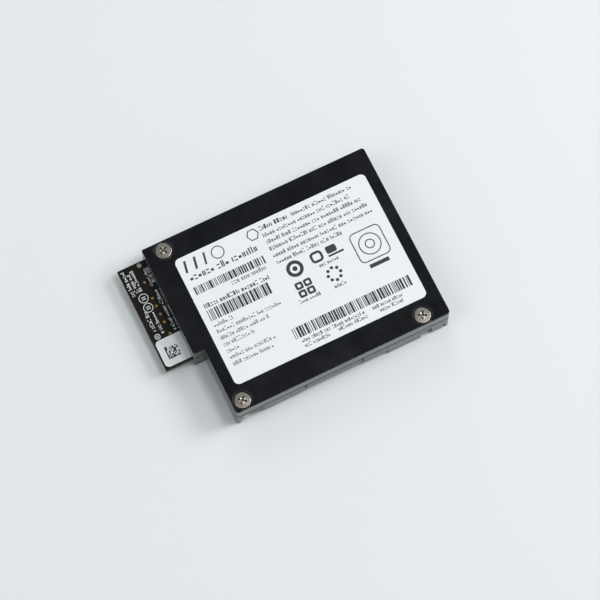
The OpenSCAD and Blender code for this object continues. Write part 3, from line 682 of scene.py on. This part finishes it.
def label_text():
    """Lines of small marks: the headings, the cell's facts, the note and small lines."""
    rng = random.Random(11)
    p = label_sheet()
    for line in HEADING_LINES:
        p.words(*line, rng)
    for end, top in CELL_LINES:
        p.words(CELL_LEFT, end, top, top + CELL_TALL, CELL_HEAVY, rng)
    p.words(*NOTE_HEADING, rng)
    p.words(*NOTE_FIRST, rng)
    for end, top in NOTE_LINES:
        p.words(NOTE_LEFT, end, top, top + NOTE_TALL, NOTE_HEAVY, rng)
    for start, end, top in SMALL_LINES:
        p.words(start, end, top, top + SMALL_TALL, SMALL_HEAVY, rng)
    p.finish("label_text_lines", ink("label_ink", (0.03, 0.03, 0.034)), "label_film")


def label_bars():
    """Fields of upright bars."""
    rng = random.Random(5)
    p = label_sheet()
    for field in BAR_FIELDS:
        p.stripes(*field, rng)
    p.finish("label_bar_fields", ink("bar_ink", (0.012, 0.012, 0.015)), "label_film")


def label_shapes():
    """Plain shapes where the real label carries marks and symbols."""
    p = label_sheet()
    for start, end in SLANT_BARS:
        p.fill([(start + SLANT_LEAN, SLANT_TOP), (end + SLANT_LEAN, SLANT_TOP),
                (end - SLANT_BACK, SLANT_BOTTOM), (start - SLANT_BACK, SLANT_BOTTOM)])
    for ring in LABEL_RINGS:
        p.ring(*ring)
    for frame_facts in LABEL_FRAMES:
        p.frame(*frame_facts)
    for slab in LABEL_SLABS:
        p.fill(rounded(*slab))
    p.fill(regular(BULL_CENTRE, BULL_RADIUS, 24))
    for x in SQUARE_LEFTS:
        for y in SQUARE_BACKS:
            far = (x + SQUARE_SIZE[0], y + SQUARE_SIZE[1])
            p.frame((x, y), far, SQUARE_STROKE, SQUARE_RADIUS)
    for x, y in regular(DOTS_CENTRE, DOTS_REACH, DOTS):
        p.fill(regular((x, y), DOT_RADIUS, 16))
    p.bar(*LABEL_BAR)
    p.finish("label_plain_marks", ink("mark_ink", (0.02, 0.02, 0.024)), "label_film")


def add_label_print():
    label_text()
    label_bars()
    label_shapes()


# ---- The board's tab --------------------------------------------------------
# Places are (from the tab's left edge, from its back edge) in millimetres.

SILK_DEPTH = 0.02
SILK_COLOUR = (0.78, 0.82, 0.82)
SILK_HEAVY = 1.4
PAD_DEPTH = 0.03
VIA_X = 5.85
VIA_YS = [6.4, 11.8, 14.4, 17.1, 19.8, 23.6]
VIA_RADIUS = 0.36
VIA_HOLE = 0.14
FIDUCIAL = (6.6, 1.05)
FIDUCIAL_RADIUS = 0.68
# Centre and radius of each ring mark, and the places of its two bars as shares of it
RING_MARKS = [((3.5, 10.7), 1.47), ((3.5, 13.85), 1.47), ((2.15, 23.0), 0.85)]
RING_STROKE = 0.22
RING_BARS = (-0.3, 0.14)
RING_BAR_WIDTH = 0.2
RING_BAR_HALF = 0.42
# Columns of small marks: their start and end along the tab, place across it and height
SILK_COLUMNS = [(0.9, 9.3, 0.55, 1.1), (2.3, 8.6, 2.0, 0.95), (1.6, 8.9, 3.15, 1.05),
                (2.5, 8.4, 6.95, 0.75), (2.6, 7.6, 7.85, 0.65), (9.9, 23.6, 7.15, 1.0),
                (14.6, 21.6, 1.55, 1.1), (15.7, 23.3, 3.4, 1.05)]
# The sticker's field of squares: its corner on the sticker and its cells
CODE_CORNER = (1.8, 2.6)
CODE_CELLS = 10
CODE_PITCH = 0.39
CODE_FILL = 0.99


def tab_sheet(depth, across=(1, 0), down=(0, -1)):
    """Print on the board's upper face from its back left corner."""
    low, high = box_mm("circuit_board")
    return Print((low.x, high.y), across, down, high.z, depth)


def tab_silkscreen():
    """Columns of blocks that read along the tab, and three plain ring marks."""
    rng = random.Random(23)
    p = tab_sheet(SILK_DEPTH, across=(0, -1), down=(1, 0))
    for start, end, near, tall in SILK_COLUMNS:
        p.words(start, end, near, near + tall, SILK_HEAVY, rng)
    for (x, y), radius in RING_MARKS:
        p.ring((y, x), radius, radius - RING_STROKE)
        near, far = x - RING_BAR_HALF * radius, x + RING_BAR_HALF * radius
        for shift in RING_BARS:
            p.bar((y + shift * radius, near), (y + (shift + RING_BAR_WIDTH) * radius, far))
    p.finish("tab_silkscreen", ink("silk_ink", SILK_COLOUR), "board_laminate")


def tab_vias():
    """A row of small plated holes along the tab."""
    p = tab_sheet(PAD_DEPTH)
    for y in VIA_YS:
        p.ring((VIA_X, y), VIA_RADIUS, VIA_HOLE, sides=24)
    gold = metal("via_gold", (0.78, 0.45, 0.13), (0.68, 0.38, 0.1), 0.35)
    p.finish("tab_vias", gold, "gold_plate")


def tab_fiducial():
    """The round bare pad at the tab's corner."""
    p = tab_sheet(PAD_DEPTH)
    p.fill(regular(FIDUCIAL, FIDUCIAL_RADIUS, 32))
    tin = metal("pad_tin", (0.62, 0.58, 0.4), (0.5, 0.47, 0.33), 0.34)
    p.finish("tab_fiducial", tin, "tinned_leads")


def sticker_code():
    """A small field of squares on the sticker, laid out by a seeded draw."""
    rng = random.Random(41)
    low, high = box_mm("code_sticker")
    p = Print((low.x, high.y), (1, 0), (0, -1), high.z, INK_DEPTH)
    left, back = CODE_CORNER
    for i in range(CODE_CELLS):
        for j in range(CODE_CELLS):
            if i == 0 or j == CODE_CELLS - 1 or rng.random() < 0.5:
                p.bar((left + i * CODE_PITCH, back + j * CODE_PITCH),
                      (left + (i + CODE_FILL) * CODE_PITCH, back + (j + CODE_FILL) * CODE_PITCH))
    p.finish("sticker_squares", ink("sticker_ink", (0.012, 0.012, 0.014)), "sticker_film")


def add_tab_print():
    tab_silkscreen()
    tab_vias()
    tab_fiducial()
    sticker_code()


# ---- The screws' recesses ---------------------------------------------------

# Degrees: the turn of each recess, from the left screw to the right one, and how far a
# burr reaches to either side of its middle
RECESS_TURNS = [28, 49, 64]
BURR_SPREAD = 24
BURR_STEPS = 6
# Distance from the screw's axis and height over the head of the burr's outline
BURR_OUTLINE = [(0.56, -0.02), (0.84, 0.06), (0.95, -0.06), (0.56, -0.1)]


def add_burr(bm, centre, top, middle):
    """One burnished ridge that the punch left between two arms of a recess."""
    loops = []
    for k in range(BURR_STEPS + 1):
        turn = math.radians(middle + BURR_SPREAD * (2 * k / BURR_STEPS - 1))
        loops.append([bm.verts.new((centre.x + r * math.cos(turn), centre.y + r * math.sin(turn),
                                    top + z)) for r, z in BURR_OUTLINE])
    for near, far in zip(loops, loops[1:]):
        join_loops(bm, near, far)
    bm.faces.new(loops[0])
    bm.faces.new(loops[-1])


def recess_burrs():
    """Four burrs between the arms of each screw's recess."""
    bm = bmesh.new()
    for (low, high), turn in zip(parts_mm("cover_screws"), RECESS_TURNS):
        for quarter in range(4):
            add_burr(bm, (low + high) / 2, high.z, turn + 45 + 90 * quarter)
    steel = metal("burnished_steel", (0.8, 0.77, 0.7), (0.72, 0.68, 0.6), 0.2)
    make_piece("recess_burrs", bm, steel)


# ---- The board's underside --------------------------------------------------
# Places are the part's own X and Y in millimetres.

CAP_SHARE = 0.22
TIN_SKIN = 0.008
SOLDER_RUN = 0.32
SOLDER_EDGE = 0.03
LAND_DEPTH = 0.03
LAND_WIDTH = 0.42
# How far a land reaches back from the lead's tip, and out past it
LAND_HEEL, LAND_TOE = 0.55, 0.15
TRACE_DEPTH = 0.02
TRACE_WIDTH = 0.17
# A trace's first run, what each further one of three adds, and the run to its via
TRACE_START, TRACE_STEP, TRACE_END = 0.3, 0.55, 0.35
UNDER_VIA_RADIUS = 0.22
UNDER_VIA_HOLE = 0.09
TWO_ENDED = ("ceramic_capacitors", "chip_resistors", "sense_resistor", "board_fuse")
LEADED = ("gauge_chip", "memory_chip", "controller_chip", "switch_chips")
OUTLINE_ROOM = {"gauge_chip": 1.15, "memory_chip": 1.15, "controller_chip": 1.15,
                "switch_chips": 1.15, "charger_chip": 0.35, "power_coil": 0.3,
                "tantalum_capacitors": 0.3, "diodes": 0.3}
UNDER_SILK_COLOUR = (0.62, 0.65, 0.65)
OUTLINE_STROKE = 0.14
OUTLINE_RADIUS = 0.25
PIN_DOT_AWAY = 0.3
PIN_DOT_RADIUS = 0.17
# Start, end and inset of a polarity band on its part
BAND_START, BAND_END, BAND_INSET = 0.3, 1.15, 0.15
THREAD_PITCH = 0.45
THREAD_START = 0.25
THREAD_HALF = 0.44 * THREAD_PITCH
THREAD_RADIUS = 1.26
THREAD_CREST = 1.08
THREAD_DEPTH = 3.3
TURN_STEPS = 24


def under_sheet(depth, node="circuit_board"):
    """Flat print under the board, or under one kind of part."""
    lowest = box_mm(node)[0].z
    return Print((0, 0), (1, 0), (0, 1), lowest - depth, depth)


def longer_axis(low, high):
    return 0 if high.x - low.x > high.y - low.y else 1


def add_tinned_end(bm, low, high, along, side):
    """Tin over one end of a part, with the solder fillet up to its pad on the board."""
    across = 1 - along
    tall = high.z - low.z
    face = high[along] if side > 0 else low[along]
    inner = -CAP_SHARE * (high[along] - low[along])
    top = tall + TIN_SKIN
    profile = [(inner, top), (TIN_SKIN, top), (TIN_SKIN, 0.5 * tall), (0.4 * SOLDER_RUN, 0.2 * tall),
               (SOLDER_RUN, SOLDER_EDGE), (SOLDER_RUN, 0), (inner, 0)]
    loops = []
    for edge in (low[across] - TIN_SKIN, high[across] + TIN_SKIN):
        loop = []
        for out, drop in profile:
            place = Vector((0, 0, high.z - drop))
            place[along], place[across] = face + side * out, edge
            loop.append(bm.verts.new(place))
        bm.faces.new(loop)
        loops.append(loop)
    join_loops(bm, *loops)


def tinned_ends():
    """Tin on both ends of every two-ended part."""
    bm = bmesh.new()
    for node in TWO_ENDED:
        for low, high in parts_mm(node):
            for side in (-1, 1):
                add_tinned_end(bm, low, high, longer_axis(low, high), side)
    tin = metal("end_tin", (0.7, 0.69, 0.66), (0.56, 0.55, 0.53), 0.3)
    make_piece("tinned_ends", bm, tin)


def lead_tips():
    """For each chip lead: its tip, the way outwards, and the way along its row."""
    chips = [(low + high) / 2 for node in LEADED for low, high in parts_mm(node)]
    for low, high in parts_mm("chip_leads"):
        middle = (low + high) / 2
        chip = min(chips, key=lambda c: (c - middle).xy.length)
        along = longer_axis(low, high)
        out = Vector((0, 0))
        out[along] = 1 if middle[along] > chip[along] else -1
        tip = middle.xy.copy()
        tip[along] = high[along] if out[along] > 0 else low[along]
        yield tip, out, Vector((abs(out.y), abs(out.x)))


def lead_runs():
    """A pad under each chip lead, and a short trace from it to a via."""
    lands, runs, vias = under_sheet(LAND_DEPTH), under_sheet(TRACE_DEPTH), under_sheet(PAD_DEPTH)
    for k, (tip, out, row) in enumerate(lead_tips()):
        heel, toe = tip - LAND_HEEL * out, tip + LAND_TOE * out
        lands.line(heel, toe, LAND_WIDTH)
        bend = toe + (TRACE_START + TRACE_STEP * (k % 3)) * out
        end = bend + TRACE_END * (out + row)
        runs.line(toe, bend, TRACE_WIDTH)
        runs.line(bend, end, TRACE_WIDTH)
        vias.ring(tuple(end), UNDER_VIA_RADIUS, UNDER_VIA_HOLE, sides=16)
    tin = metal("land_tin", (0.66, 0.65, 0.6), (0.52, 0.5, 0.46), 0.36)
    mask = film("trace_mask", (0.02, 0.018, 0.014), (0.016, 0.014, 0.011), 0.34)
    gold = metal("under_gold", (0.78, 0.48, 0.16), (0.68, 0.4, 0.12), 0.35)
    lands.finish("lead_lands", tin, "tinned_leads")
    runs.finish("mask_traces", mask, "board_laminate")
    vias.finish("under_vias", gold, "gold_plate")


def under_silkscreen():
    """An outline round each larger part, with a dot at one of its corners."""
    p = under_sheet(SILK_DEPTH)
    for node, room in OUTLINE_ROOM.items():
        for low, high in parts_mm(node):
            a, b = (low.x - room, low.y - room), (high.x + room, high.y + room)
            p.frame(a, b, OUTLINE_STROKE, OUTLINE_RADIUS)
            p.fill(regular((a[0] - PIN_DOT_AWAY, a[1] - PIN_DOT_AWAY), PIN_DOT_RADIUS, 16))
    p.finish("under_silkscreen", ink("under_silk_ink", UNDER_SILK_COLOUR), "board_laminate")


def polarity_bands():
    """A band across one end of each tantalum capacitor and each diode."""
    for node, colour in (("tantalum_capacitors", (0.2, 0.09, 0.02)),
                         ("diodes", (0.55, 0.56, 0.55))):
        p = under_sheet(INK_DEPTH, node)
        for low, high in parts_mm(node):
            p.bar((low.x + BAND_START, low.y + BAND_INSET),
                  (low.x + BAND_END, high.y - BAND_INSET))
        p.finish(node + "_bands", ink(node + "_ink", colour), "chip_epoxy")


def add_thread(bm, centre, bottom):
    """One helical ridge on the wall of a threaded hole."""
    steps = round(TURN_STEPS * THREAD_DEPTH / THREAD_PITCH)
    section = [(THREAD_RADIUS, -THREAD_HALF), (THREAD_CREST, 0), (THREAD_RADIUS, THREAD_HALF)]
    last = None
    for k in range(steps + 1):
        turn = math.tau * k / TURN_STEPS
        z = bottom + THREAD_HALF + (THREAD_DEPTH - 2 * THREAD_HALF) * k / steps
        rib = [bm.verts.new((centre.x + r * math.cos(turn), centre.y + r * math.sin(turn), z + dz))
               for r, dz in section]
        if last is None:
            bm.faces.new(rib)
        else:
            join_loops(bm, last, rib)
        last = rib
    bm.faces.new(last)


def standoff_threads():
    """A thread in the lower end of each standoff."""
    bm = bmesh.new()
    for low, high in parts_mm("threaded_standoffs"):
        add_thread(bm, (low + high) / 2, low.z + THREAD_START)
    brass = metal("thread_brass", (0.88, 0.85, 0.78), (0.78, 0.75, 0.68), 0.3)
    make_piece("standoff_threads", bm, brass)


def add_underside():
    tinned_ends()
    lead_runs()
    under_silkscreen()
    polarity_bands()
    standoff_threads()


# ---- Scene ------------------------------------------------------------------

bpy.context.scene.view_settings.view_transform = "Standard"
add_camera()
for lamp_name, lamp_facts in LAMPS.items():
    add_lamp(lamp_name, **lamp_facts)
add_world()
add_floor()
finish_nodes()
add_label_print()
add_tab_print()
recess_burrs()
add_underside()

bpy.context.view_layer.update()
